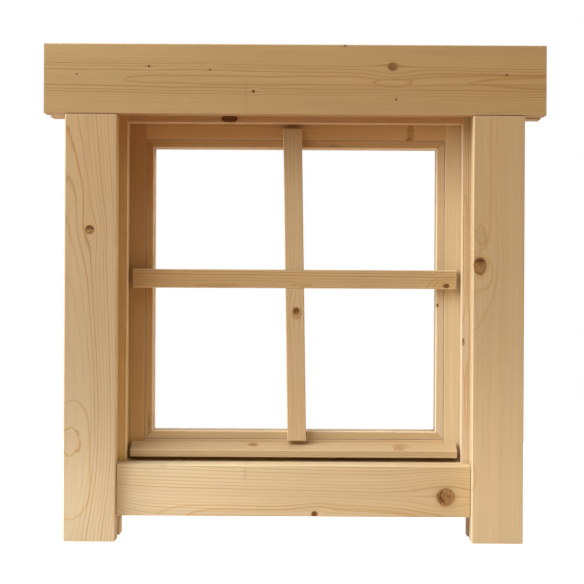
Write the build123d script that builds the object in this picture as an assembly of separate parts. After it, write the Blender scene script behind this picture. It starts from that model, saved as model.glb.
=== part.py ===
"""Timber shed window: trim boards on both sides of a box frame leave a slot for the wall, and a glazed
sash closes from the inside against the frame's lip. X runs along the wall, Y from outside to inside
and Z up, with the origin in the middle of the slot, level with the lower ends of the stiles."""

import os
from math import radians, tan

from build123d import *

# Trim boards, the same section outside and inside
trim_thickness = 45.0
trim_arris = 1.6
trim_joint = 0.8
stile_width = 70.0
stile_length = 583.0
header_height = 95.0
header_overhang = 29.0
opening_width = 486.0
apron_height = 70.0
apron_thickness = 24.0
apron_rise = 33.0
rear_apron_arris = 2.0

# Box frame between the trim boards
slot_width = 30.0
frame_width = 42.0
frame_arris = 1.2
jamb_lip = 12.0
head_lip = 9.5
sill_height = 45.0
sill_slope_angle = 4.0
stub_length = 14.0
stub_thickness = 12.0
stub_shoulder = 9.0
joint_clearance = 0.1

# Sash
sash_gap = 3.0
seat_gap = 2.0
sash_arris = 1.0
sill_overlap = 8.8
sash_stile_face = 31.0
top_rail_face = 27.5
bottom_rail_face = 36.3
rebate_width = 12.0
rebate_depth = 21.0
tenon_thickness = 13.0
tenon_haunch = 11.0
shoulder_joint = 0.6

# Glazing
glass_thickness = 4.0
glass_clearance = 3.0
block_length = 40.0
block_place_share = 0.5
glazing_seal_thickness = 1.0
glazing_seal_width = 8.0
glazing_seal_inset = 1.5
bead_recess = 2.0
bead_chamfer = 1.6
bead_joint = 0.7
bead_joint_depth = 3.0
bead_mitre_joint = 0.35

# Weather seal on the back of the lip
weather_seal_width = 4.0
weather_seal_inset = 1.0

# Glazing bars and drip rail on the face of the sash
bar_width = 26.0
bar_thickness = 14.0
bar_arris = 1.5
bar_end_gap = 6.25
bar_foot_gap = 3.4
cross_bar_height = 260.5
upright_bar_lean = 1.07
drip_rail_end_gap = 5.0
drip_rail_height = 14.0
drip_rail_depth = 28.0
drip_rail_back_height = 18.5
drip_rail_front_height = 9.5
drip_rail_arris = 1.5
drip_groove_radius = 2.5
drip_groove_setback = 7.0

# Hinges
leaf_height = 50.0
leaf_width = 30.0
leaf_thickness = 2.0
leaf_corner = 3.0
hinge_inset = 95.0
hinge_pin_radius = 2.5
pin_clearance = 0.05
pin_head_radius = 3.8
pin_head_height = 1.5
knuckle_gap = 0.3
leaf_cutback = 0.6
leaf_screw_side_share = 0.6
leaf_screw_height_share = 0.3

# Turn-buttons
button_length = 60.0
button_width = 18.0
button_thickness = 5.0
button_arris = 1.2
button_setback = 19.0
button_inset = 95.0
button_slack = 0.2
washer_radius = 7.0
washer_thickness = 1.0
pivot_radius = 2.25
pivot_head_radius = 5.0
pivot_head_height = 2.6
pivot_head_round = 2.0
pivot_grip = 25.0

# Pull knob
knob_radius = 12.5
knob_neck_radius = 7.0
knob_base_radius = 9.0
knob_base_height = 4.0
knob_height = 28.0
knob_rim = 9.0
knob_round = 6.0
knob_rise_share = 0.5
stud_radius = 3.0
stud_grip = 18.0

# Wood screws
trim_screw_shank = 5.0
trim_screw_head = 9.5
rear_screw_length = 65.0
front_screw_length = 48.0
leaf_screw_shank = 3.5
leaf_screw_head = 7.0
leaf_screw_length = 20.0
screw_tip = 4.0
screw_sink = 0.2
screw_clearance = 0.05
rear_stile_screw_shares = (0.12, 0.5, 0.88)
front_stile_screw_shares = (0.25, 0.75)
rear_rail_screw_shares = (-0.6, 0.6)
front_rail_screw_shares = (-0.75, 0.75)

# Places worked out from the sizes above
frame_back = slot_width / 2
frame_front = -frame_back
trim_back = frame_back + trim_thickness
trim_front = -trim_back
opening_half = opening_width / 2
stile_x = opening_half + stile_width / 2
header_length = opening_width + 2 * (stile_width + header_overhang)
apron_top = apron_rise + apron_height
apron_front = frame_front - apron_thickness
board_top = stile_length - trim_joint
apron_length = opening_width - 2 * trim_joint
sill_slope = tan(radians(sill_slope_angle))
sill_front_top = apron_top + sill_slope * apron_thickness
sill_back_top = sill_front_top + sill_slope * slot_width
sill_bottom = sill_front_top - sill_height
lip_half = opening_half - jamb_lip
jamb_outer = lip_half + frame_width
head_bottom = stile_length - head_lip
head_top = head_bottom + frame_width

sash_front = frame_back + seat_gap
sash_back = trim_back
sash_half = opening_half - sash_gap
sash_bottom = sill_back_top - sill_overlap
sash_top = stile_length - sash_gap
rear_apron_top = sash_bottom - sash_gap
rebate_half = sash_half - sash_stile_face
rebate_bottom = sash_bottom + bottom_rail_face
rebate_top = sash_top - top_rail_face
rebate_floor = sash_front + rebate_depth
rebate_middle = (rebate_bottom + rebate_top) / 2
sight_half = rebate_half - rebate_width
sight_bottom = rebate_bottom + rebate_width
sight_top = rebate_top - rebate_width
glass_back = rebate_floor - glazing_seal_thickness
glass_front = glass_back - glass_thickness
bead_front = sash_front + bead_recess
bar_front = sash_front - bar_thickness
cross_bar_half = lip_half - bar_end_gap
drip_rail_half = lip_half - drip_rail_end_gap
drip_rail_foot = sash_bottom + drip_rail_height
drip_rail_top = drip_rail_foot + drip_rail_back_height

knuckle_radius = hinge_pin_radius + pin_clearance + leaf_thickness
hinge_x = -(opening_half + sash_half) / 2
hinge_y = trim_back + knuckle_radius
hinge_heights = (sash_bottom + hinge_inset, sash_top - hinge_inset)
button_x = opening_half + button_setback
button_heights = (sash_bottom + button_inset, sash_top - button_inset)
button_back = trim_back + washer_thickness + button_slack
knob_x = (sash_half + sight_half) / 2
knob_z = sash_bottom + knob_rise_share * (sash_top - sash_bottom)


def block(x, y, z):
    """Square block between pairs of limits along X, Y and Z."""
    centre = Pos(sum(x) / 2, sum(y) / 2, sum(z) / 2)
    return centre * Box(x[1] - x[0], y[1] - y[0], z[1] - z[0])


def upright_board(x, width, y, z, arris):
    """Board along Z with eased long edges."""
    section = RectangleRounded(width, y[1] - y[0], arris)
    return Pos(x, sum(y) / 2, z[0]) * extrude(section, z[1] - z[0])


def level_board(length, y, z, arris):
    """Board along X with eased long edges, centred on the window."""
    section = Plane.YZ * RectangleRounded(y[1] - y[0], z[1] - z[0], arris)
    return Pos(0, sum(y) / 2, sum(z) / 2) * extrude(section, length / 2, both=True)


def eased_outline(points, sharp, arris):
    """Closed outline with every corner eased but the ones listed as sharp."""
    outline = make_face(Polyline(*points, close=True))
    corners = [v for v in outline.vertices() if all((v.center() - Vector(*p)).length > arris for p in sharp)]
    return fillet(corners, arris)


def level_profile(points, sharp, arris, length):
    """Outline given in Y and Z, run along X and centred on the window."""
    outline = eased_outline(points, sharp, arris)
    return extrude(Plane.YZ * outline, length / 2, both=True)


def wood_screw(shank, head, length, clearance=0.0):
    """Countersunk screw that points along -Y from its head at the origin, or its hole."""
    shank_radius = shank / 2 + clearance
    head_radius = head / 2 + clearance
    neck = screw_sink + head_radius - shank_radius
    end = length + clearance
    half = Polyline(
        (0, 0),
        (head_radius, 0),
        (head_radius, -screw_sink),
        (shank_radius, -neck),
        (shank_radius, -(end - screw_tip)),
        (0, -end),
        close=True,
    )
    return revolve(make_face(half), Axis.Y)


def trim_screws(places, length, clearance=0.0):
    return [Pos(*p) * wood_screw(trim_screw_shank, trim_screw_head, length, clearance) for p in places]


def screw_places(y, upright_shares, level_shares):
    """Where the trim boards are screwed: along both jambs, the head and the sill."""
    jamb_x = (opening_half + jamb_outer) / 2
    head_z = (stile_length + head_top) / 2
    sill_z = (sill_bottom + rear_apron_top) / 2
    span = head_top - sill_bottom
    places = [(side * jamb_x, y, sill_bottom + s * span) for side in (-1, 1) for s in upright_shares]
    places += [(s * lip_half, y, z) for z in (head_z, sill_z) for s in level_shares]
    return places


rear_screw_places = screw_places(trim_back, rear_stile_screw_shares, rear_rail_screw_shares)
front_screw_places = screw_places(frame_back, front_stile_screw_shares, front_rail_screw_shares)
rear_screw_holes = trim_screws(rear_screw_places, rear_screw_length, screw_clearance)
front_screw_holes = trim_screws(front_screw_places, front_screw_length, screw_clearance)


def front_trim():
    depth = (trim_front, frame_front)
    stile = upright_board(stile_x, stile_width, depth, (0, board_top), trim_arris)
    header = level_board(header_length, depth, (stile_length, stile_length + header_height), trim_arris)
    outline = [
        (apron_front, apron_rise),
        (frame_front, apron_rise),
        (frame_front, sill_front_top),
        (apron_front, apron_top),
    ]
    apron = level_profile(outline, outline[1:3], trim_arris, apron_length)
    boards = {
        "front_header": header,
        "front_stile_left": mirror(stile, about=Plane.YZ),
        "front_stile_right": stile,
        "front_apron": apron,
    }
    return {name: board - front_screw_holes for name, board in boards.items()}


def rear_trim():
    depth = (frame_back, trim_back)
    stile = upright_board(stile_x, stile_width, depth, (0, board_top), trim_arris)
    header = level_board(header_length, depth, (stile_length, stile_length + header_height), trim_arris)
    apron = level_board(apron_length, depth, (apron_rise, rear_apron_top), rear_apron_arris)
    pivots = [Pos(button_x, button_back, z) * pivot_screw(screw_clearance) for z in button_heights]
    boards = {
        "rear_header": header,
        "rear_stile_left": mirror(stile, about=Plane.YZ) - leaf_screws(-1, screw_clearance),
        "rear_stile_right": stile - pivots,
        "rear_apron": apron,
    }
    return {name: board - rear_screw_holes for name, board in boards.items()}


def stub(z, clearance=0.0):
    """Stub tenons at both ends of the head or the sill, or the mortises for them."""
    half = stub_thickness / 2 + clearance
    reach = lip_half + stub_length + clearance
    height = (z[0] + stub_shoulder - clearance, z[1] - stub_shoulder + clearance)
    return block((-reach, reach), (-half, half), height)


def box_frame():
    depth = (frame_front, frame_back)
    head_stub = (head_bottom, head_top)
    sill_stub = (sill_bottom, sill_front_top)
    jamb = upright_board(lip_half + frame_width / 2, frame_width, depth, (sill_bottom, head_top), frame_arris)
    jamb -= [stub(head_stub, joint_clearance), stub(sill_stub, joint_clearance)]
    head = level_board(2 * lip_half, depth, head_stub, frame_arris) + stub(head_stub)
    outline = [
        (frame_front, sill_bottom),
        (frame_back, sill_bottom),
        (frame_back, sill_back_top),
        (frame_front, sill_front_top),
    ]
    sill = level_profile(outline, outline[3:], frame_arris, 2 * lip_half) + stub(sill_stub)
    boards = {
        "frame_jamb_left": mirror(jamb, about=Plane.YZ),
        "frame_jamb_right": jamb,
        "frame_head": head,
        "frame_sill": sill,
    }
    return {name: board - front_screw_holes - rear_screw_holes for name, board in boards.items()}


def flat_ring(x_half, z, width, y):
    """Flat ring between two depths, its inner edge at the given limits."""
    outer = block((-x_half - width, x_half + width), y, (z[0] - width, z[1] + width))
    return outer - block((-x_half, x_half), y, z)


def weather_seal():
    half = lip_half + weather_seal_inset
    height = (sill_back_top - weather_seal_inset, head_bottom + weather_seal_inset)
    return flat_ring(half, height, weather_seal_width, (frame_back, sash_front))


def tenon(outer, inner, clearance=0.0):
    """Through tenons of one rail, from its haunch near the outer edge to its sight edge."""
    haunch = outer + (tenon_haunch if inner > outer else -tenon_haunch)
    height = (min(haunch, inner) - clearance, max(haunch, inner) + clearance)
    depth = (rebate_floor - clearance, rebate_floor + tenon_thickness + clearance)
    return block((-sash_half, sash_half), depth, height)


def sash_stile():
    outline = [
        (sash_half, sash_front),
        (sash_half, sash_back),
        (sight_half, sash_back),
        (sight_half, rebate_floor),
        (rebate_half, rebate_floor),
        (rebate_half, sash_front),
    ]
    section = eased_outline(outline, outline[3:5], sash_arris)
    stile = Pos(0, 0, sash_bottom) * extrude(section, sash_top - sash_bottom)
    tenons = ((sash_top, sight_top), (sash_bottom, sight_bottom))
    return stile - [tenon(outer, inner, joint_clearance) for outer, inner in tenons]


def sash_rail(outer, rebate, sight):
    """Rail with a long shoulder at the rebate, a short one behind it and a fine open joint in front."""
    outline = [
        (sash_front, outer),
        (sash_back, outer),
        (sash_back, sight),
        (rebate_floor, sight),
        (rebate_floor, rebate),
        (sash_front, rebate),
    ]
    rail = level_profile(outline, outline[3:5], sash_arris, 2 * rebate_half)
    height = (min(outer, sight), max(outer, sight))
    joint = rebate_half - shoulder_joint
    for side in (-1, 1):
        behind = sorted((side * sight_half, side * rebate_half))
        rail -= block(behind, (rebate_floor, sash_back), height)
        line = sorted((side * joint, side * rebate_half))
        rail -= block(line, (sash_front, sash_front + bead_joint_depth), height)
    return rail + tenon(outer, sight)


def sash_frame():
    stile = sash_stile()
    pull_hole = Pos(knob_x, sash_back, knob_z) * stud(screw_clearance)
    return {
        "sash_stile_left": mirror(stile, about=Plane.YZ) - leaf_screws(1, screw_clearance),
        "sash_stile_right": stile - pull_hole,
        "sash_top_rail": sash_rail(sash_top, rebate_top, sight_top),
        "sash_bottom_rail": sash_rail(sash_bottom, rebate_bottom, sight_bottom),
    }


def bead(length):
    """Mitred glazing bead along X: its outer edge lies on the X axis and its width along +Z.

    A shallow rebate along the outer edge and the fine open mitres show as joint lines.
    """
    outer = length / 2 - bead_mitre_joint
    inner = outer - rebate_width
    outline = [(-outer, 0), (outer, 0), (inner, rebate_width), (-inner, rebate_width)]
    face = Plane.XZ * make_face(Polyline(*outline, close=True))
    run = Pos(0, bead_front, 0) * extrude(face, glass_front - bead_front, dir=(0, 1, 0))
    run -= block((-outer, outer), (bead_front, bead_front + bead_joint_depth), (0, bead_joint))
    edge = run.edges().filter_by(Axis.X).group_by(Axis.Z)[-1].sort_by(Axis.Y)[0]
    return chamfer(edge, bead_chamfer)


def glazing():
    glass_half = rebate_half - glass_clearance
    glass_height = (rebate_bottom + glass_clearance, rebate_top - glass_clearance)
    pane = block((-glass_half, glass_half), (glass_front, glass_back), glass_height)
    under = (rebate_bottom, rebate_bottom + glass_clearance)
    blocks = []
    for side in (-1, 1):
        middle = side * block_place_share * rebate_half
        ends = (middle - block_length / 2, middle + block_length / 2)
        blocks.append(block(ends, (glass_front, glass_back), under))
    seal_half = sight_half + glazing_seal_inset
    seal_height = (sight_bottom - glazing_seal_inset, sight_top + glazing_seal_inset)
    seal = flat_ring(seal_half, seal_height, glazing_seal_width, (glass_back, rebate_floor))
    level_bead = bead(2 * rebate_half)
    upright_bead = bead(rebate_top - rebate_bottom)
    return {
        "glass_pane": pane,
        "setting_blocks": Compound(children=blocks),
        "glazing_seal": seal,
        "bead_bottom": Pos(0, 0, rebate_bottom) * level_bead,
        "bead_top": Pos(0, 0, rebate_top) * Rot(0, 180, 0) * level_bead,
        "bead_left": Pos(-rebate_half, 0, rebate_middle) * Rot(0, 90, 0) * upright_bead,
        "bead_right": Pos(rebate_half, 0, rebate_middle) * Rot(0, -90, 0) * upright_bead,
    }


def glazing_bars():
    """Two flat bars halved into each other, the upright one a little out of plumb."""
    depth = (bar_front, sash_front)
    halving = (bar_front + sash_front) / 2
    cross_z = sash_bottom + cross_bar_height
    cross_height = (cross_z - bar_width / 2, cross_z + bar_width / 2)
    cross = level_board(2 * cross_bar_half, depth, cross_height, bar_arris)
    foot = drip_rail_top + bar_foot_gap
    top = head_bottom - bar_end_gap
    length = (-(top - foot) / 2, (top - foot) / 2)
    place = Pos(0, 0, (foot + top) / 2) * Rot(0, -upright_bar_lean, 0)
    upright = place * upright_board(0, bar_width, depth, length, bar_arris)
    notch_half = bar_width / 2 + joint_clearance
    cross -= place * block((-notch_half, notch_half), (halving - joint_clearance, sash_front), length)
    notch_height = (cross_height[0] - joint_clearance, cross_height[1] + joint_clearance)
    upright -= block((-cross_bar_half, cross_bar_half), (bar_front, halving), notch_height)
    return {"glazing_bar_cross": cross, "glazing_bar_upright": upright}


def drip_rail():
    """Weather board with a sloped top and a drip groove underneath."""
    nose = sash_front - drip_rail_depth
    outline = [
        (nose, drip_rail_foot),
        (sash_front, drip_rail_foot),
        (sash_front, drip_rail_top),
        (nose, drip_rail_foot + drip_rail_front_height),
    ]
    rail = level_profile(outline, outline[1:3], drip_rail_arris, 2 * drip_rail_half)
    groove = Plane.YZ * Pos(nose + drip_groove_setback, drip_rail_foot) * Circle(drip_groove_radius)
    return rail - extrude(groove, drip_rail_half, both=True)


def leaf_screws(side, clearance=0.0):
    """Screws of both hinges through the frame leaves (side -1) or the sash leaves (side 1)."""
    x = hinge_x + side * leaf_screw_side_share * leaf_width
    y = trim_back + leaf_thickness
    heights = [z + s * leaf_screw_height_share * leaf_height for z in hinge_heights for s in (-1, 1)]
    screw = wood_screw(leaf_screw_shank, leaf_screw_head, leaf_screw_length, clearance)
    return [Pos(x, y, z) * screw for z in heights]


def hinge_leaf(side, z):
    """One leaf: the frame leaf carries the outer knuckles, the sash leaf the middle one."""
    third = leaf_height / 3
    outer = [(-leaf_height / 2, -third / 2 - knuckle_gap), (third / 2 + knuckle_gap, leaf_height / 2)]
    zones = outer if side < 0 else [(-third / 2, third / 2)]
    start = knuckle_radius + leaf_cutback
    depth = (-knuckle_radius, leaf_thickness - knuckle_radius)
    plate = block((start, leaf_width), depth, (-leaf_height / 2, leaf_height / 2))
    corners = plate.edges().filter_by(Axis.Y).group_by(Axis.X)[-1]
    leaf = fillet(corners, leaf_corner)
    for low, high in zones:
        leaf += block((0, start), depth, (low, high))
        leaf += Pos(0, 0, low) * extrude(Circle(knuckle_radius), high - low)
    bore = extrude(Circle(hinge_pin_radius + pin_clearance), leaf_height, both=True)
    leaf -= bore
    if side < 0:
        leaf = mirror(leaf, about=Plane.YZ)
    return Pos(hinge_x, hinge_y, z) * leaf - leaf_screws(side, screw_clearance)


def hinge_pin(z):
    top = leaf_height / 2
    pin = Pos(0, 0, -top) * extrude(Circle(hinge_pin_radius), leaf_height)
    pin += Pos(0, 0, top) * extrude(Circle(pin_head_radius), pin_head_height)
    return Pos(hinge_x, hinge_y, z) * pin


def hinges():
    nodes = {}
    for name, z in zip(("lower", "upper"), hinge_heights):
        nodes[f"hinge_{name}_frame_leaf"] = hinge_leaf(-1, z)
        nodes[f"hinge_{name}_sash_leaf"] = hinge_leaf(1, z)
        nodes[f"hinge_{name}_pin"] = hinge_pin(z)
    nodes["hinge_frame_screws"] = Compound(children=leaf_screws(-1))
    nodes["hinge_sash_screws"] = Compound(children=leaf_screws(1))
    return nodes


def pivot_screw(clearance=0.0):
    """Round-headed pivot of a turn-button along -Y, the button's back face at the origin, or its hole."""
    seat = button_thickness + button_slack
    radius = pivot_radius + clearance
    half = Polyline(
        (0, seat + pivot_head_height),
        (pivot_head_radius, seat + pivot_head_height),
        (pivot_head_radius, seat),
        (radius, seat),
        (radius, screw_tip - pivot_grip),
        (0, -pivot_grip - clearance),
        close=True,
    )
    screw = revolve(make_face(half), Axis.Y)
    rim = screw.edges().group_by(Axis.Y)[-1]
    return fillet(rim, pivot_head_round)


def turn_buttons():
    outline = Plane.XZ * Rot(0, 0, 90) * SlotOverall(button_length, button_width)
    button = extrude(outline, button_thickness, dir=(0, 1, 0))
    button = fillet(button.faces().sort_by(Axis.Y)[-1].edges(), button_arris)
    button -= extrude(Plane.XZ * Circle(pivot_radius + pin_clearance), button_thickness, dir=(0, 1, 0))
    ring = Plane.XZ * (Circle(washer_radius) - Circle(pivot_radius + pin_clearance))
    washer = Pos(0, -washer_thickness - button_slack, 0) * extrude(ring, washer_thickness, dir=(0, 1, 0))
    places = [Pos(button_x, button_back, z) for z in button_heights]
    return {
        "turn_button_lower": places[0] * button,
        "turn_button_upper": places[1] * button,
        "turn_button_pivots": Compound(children=[place * pivot_screw() for place in places]),
        "turn_button_washers": Compound(children=[place * washer for place in places]),
    }


def stud(clearance=0.0):
    """Threaded stud, half in the sash stile and half in the knob, or its hole."""
    grip = stud_grip + clearance
    return extrude(Plane.XZ * Circle(stud_radius + clearance), grip, both=True)


def pull_knob():
    """Turned knob: a foot, a waist that widens to the grip, and a rounded face."""
    half = Polyline(
        (0, 0),
        (knob_base_radius, 0),
        (knob_neck_radius, knob_base_height),
        (knob_radius, knob_height - knob_rim),
        (knob_radius, knob_height),
        (0, knob_height),
        close=True,
    )
    turned = revolve(make_face(half), Axis.Y)
    rim = turned.edges().group_by(Axis.Y)[-1]
    turned = fillet(rim, knob_round)
    place = Pos(knob_x, sash_back, knob_z)
    return {"pull_knob": place * (turned - stud(screw_clearance)), "pull_knob_stud": place * stud()}


nodes = {
    **front_trim(),
    **box_frame(),
    **rear_trim(),
    "weather_seal": weather_seal(),
    **sash_frame(),
    **glazing(),
    **glazing_bars(),
    "drip_rail": drip_rail(),
    **hinges(),
    **turn_buttons(),
    **pull_knob(),
    "front_trim_screws": Compound(children=trim_screws(front_screw_places, front_screw_length)),
    "rear_trim_screws": Compound(children=trim_screws(rear_screw_places, rear_screw_length)),
}

os.makedirs("parts", exist_ok=True)
for name, node in nodes.items():
    export_step(node, f"parts/{name}.step")
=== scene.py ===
import math

import bmesh
import bpy
from mathutils import Matrix, Vector


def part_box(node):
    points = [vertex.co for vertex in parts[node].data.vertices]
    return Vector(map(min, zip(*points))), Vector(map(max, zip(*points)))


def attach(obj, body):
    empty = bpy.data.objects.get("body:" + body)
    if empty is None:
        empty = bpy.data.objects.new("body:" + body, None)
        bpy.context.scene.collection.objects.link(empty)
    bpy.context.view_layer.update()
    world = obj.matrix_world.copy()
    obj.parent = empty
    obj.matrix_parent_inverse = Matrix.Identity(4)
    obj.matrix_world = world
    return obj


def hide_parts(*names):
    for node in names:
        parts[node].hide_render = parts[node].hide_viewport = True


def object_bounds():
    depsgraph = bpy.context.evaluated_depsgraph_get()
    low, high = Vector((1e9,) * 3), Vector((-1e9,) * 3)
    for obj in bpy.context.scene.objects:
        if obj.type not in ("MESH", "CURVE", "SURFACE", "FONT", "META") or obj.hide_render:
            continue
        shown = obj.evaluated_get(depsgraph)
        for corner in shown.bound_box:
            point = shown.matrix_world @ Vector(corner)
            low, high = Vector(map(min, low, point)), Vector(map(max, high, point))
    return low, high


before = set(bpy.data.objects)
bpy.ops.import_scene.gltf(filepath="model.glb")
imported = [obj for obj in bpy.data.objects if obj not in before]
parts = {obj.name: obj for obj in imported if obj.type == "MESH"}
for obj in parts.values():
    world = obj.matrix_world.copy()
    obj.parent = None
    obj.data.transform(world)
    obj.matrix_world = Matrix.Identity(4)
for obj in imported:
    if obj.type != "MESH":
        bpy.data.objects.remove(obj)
cad_low, cad_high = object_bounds()

MM = 0.001
WHITE = (1.0, 1.0, 1.0, 1.0)

# Spruce: the two kinds of wood in a year, what lies in the wood, worn edges that are partly a painted
# highlight, and painted highlights on arrises.
EARLY_TONE = (0.665, 0.485, 0.268, 1.0)
LATE_TONE = (0.500, 0.270, 0.100, 1.0)
LOOP_TONE = (0.540, 0.290, 0.088, 1.0)
CANAL_TONE = (0.26, 0.12, 0.04, 1.0)
BLUSH_TONE = (0.50, 0.275, 0.105, 1.0)
HALO_TONE = (0.52, 0.29, 0.10, 1.0)
HEART_TONE = (0.490, 0.290, 0.118, 1.0)
HEART_RING_TONE = (0.270, 0.120, 0.038, 1.0)
HEART_SPECK_TONE = (0.160, 0.060, 0.018, 1.0)
HEART_DARK_TONE = (0.110, 0.033, 0.008, 1.0)
PIN_TONE = (0.062, 0.026, 0.009, 1.0)
# Paler worn edges, partly a painted highlight.
WORN_AND_HIGHLIT_TONE = (0.78, 0.60, 0.39, 1.0)
# A painted highlight on the arrises.
ARRIS_HIGHLIGHT_TONE = (0.93, 0.80, 0.58, 1.0)
END_GRAIN_TONE = (0.36, 0.205, 0.095, 1.0)


class Tree:
    """Short calls that wire a shader or group tree."""

    def __init__(self, tree):
        self.tree = tree

    def add(self, kind, **settings):
        node = self.tree.nodes.new(kind)
        for key, value in settings.items():
            setattr(node, key, value)
        return node

    def put(self, socket, value):
        if isinstance(value, bpy.types.NodeSocket):
            self.tree.links.new(value, socket)
        elif value is not None:
            socket.default_value = value

    def math(self, operation, a, b=None, c=None, clamp=False):
        node = self.add("ShaderNodeMath", operation=operation, use_clamp=clamp)
        for socket, value in zip(node.inputs, (a, b, c)):
            self.put(socket, value)
        return node.outputs[0]

    def total(self, *values):
        result = values[0]
        for value in values[1:]:
            result = self.math("ADD", result, value)
        return result

    def squares(self, a, b):
        """The sum of two squares."""
        return self.math("ADD", self.math("MULTIPLY", a, a), self.math("MULTIPLY", b, b))

    def swing(self, share, amount):
        """A share of 0 to 1 set about zero, times an amount."""
        return self.math("MULTIPLY", self.math("SUBTRACT", share, 0.5), amount)

    def fade(self, square):
        """1 at no distance and less further off, from the square of the distance."""
        return self.math("EXPONENT", self.math("MULTIPLY", square, -1.0))

    def bell(self, value, width):
        """1 where the value is zero, and less to both sides."""
        ratio = self.math("DIVIDE", value, width)
        return self.fade(self.math("MULTIPLY", ratio, ratio))

    def vector(self, operation, a, b=None):
        node = self.add("ShaderNodeVectorMath", operation=operation)
        self.put(node.inputs[0], a)
        self.put(node.inputs[1], b)
        return node.outputs[0]

    def split(self, vector):
        node = self.add("ShaderNodeSeparateXYZ")
        self.put(node.inputs[0], vector)
        return node.outputs

    def join(self, x, y, z):
        node = self.add("ShaderNodeCombineXYZ")
        for socket, value in zip(node.inputs, (x, y, z)):
            self.put(socket, value)
        return node.outputs[0]

    def noise(self, vector, scale=1.0, detail=2.0, roughness=0.5):
        node = self.add("ShaderNodeTexNoise", noise_dimensions="3D")
        self.put(node.inputs["Vector"], vector)
        self.put(node.inputs["Scale"], scale)
        self.put(node.inputs["Detail"], detail)
        self.put(node.inputs["Roughness"], roughness)
        return node.outputs["Fac"]

    def steps(self, value, low, high, first=0.0, last=1.0, smooth=True):
        """Goes from first to last while the value goes from low to high."""
        node = self.add("ShaderNodeMapRange")
        node.interpolation_type = "SMOOTHSTEP" if smooth else "LINEAR"
        for socket, entry in zip(node.inputs, (value, low, high, first, last)):
            self.put(socket, entry)
        return node.outputs[0]

    def mix(self, share, a, b, blend="MIX"):
        node = self.add("ShaderNodeMix", data_type="RGBA", blend_type=blend)
        self.put(node.inputs["Factor"], share)
        self.put(node.inputs[6], a)
        self.put(node.inputs[7], b)
        return node.outputs[2]

    def scaled(self, colour, amount):
        """A colour times a number."""
        node = self.add("ShaderNodeVectorMath", operation="SCALE")
        self.put(node.inputs[0], tuple(colour[:3]) if isinstance(colour, tuple) else colour)
        self.put(node.inputs["Scale"], amount)
        return node.outputs[0]

    def relief(self, shader, height, strength, distance):
        """Bump on a shader."""
        bump = self.add("ShaderNodeBump")
        bump.inputs["Strength"].default_value = strength
        bump.inputs["Distance"].default_value = distance
        self.put(bump.inputs["Height"], height)
        self.put(shader.inputs["Normal"], bump.outputs["Normal"])


def new_group(name, inputs, outputs):
    """A shader node group with typed sockets, its tree helper and its two end nodes."""
    group = bpy.data.node_groups.new(name, "ShaderNodeTree")
    kinds = {"f": "NodeSocketFloat", "v": "NodeSocketVector", "c": "NodeSocketColor"}
    for label, kind in inputs:
        group.interface.new_socket(label, in_out="INPUT", socket_type=kinds[kind])
    for label, kind in outputs:
        group.interface.new_socket(label, in_out="OUTPUT", socket_type=kinds[kind])
    tree = Tree(group)
    return group, tree, tree.add("NodeGroupInput").outputs, tree.add("NodeGroupOutput").inputs


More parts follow.
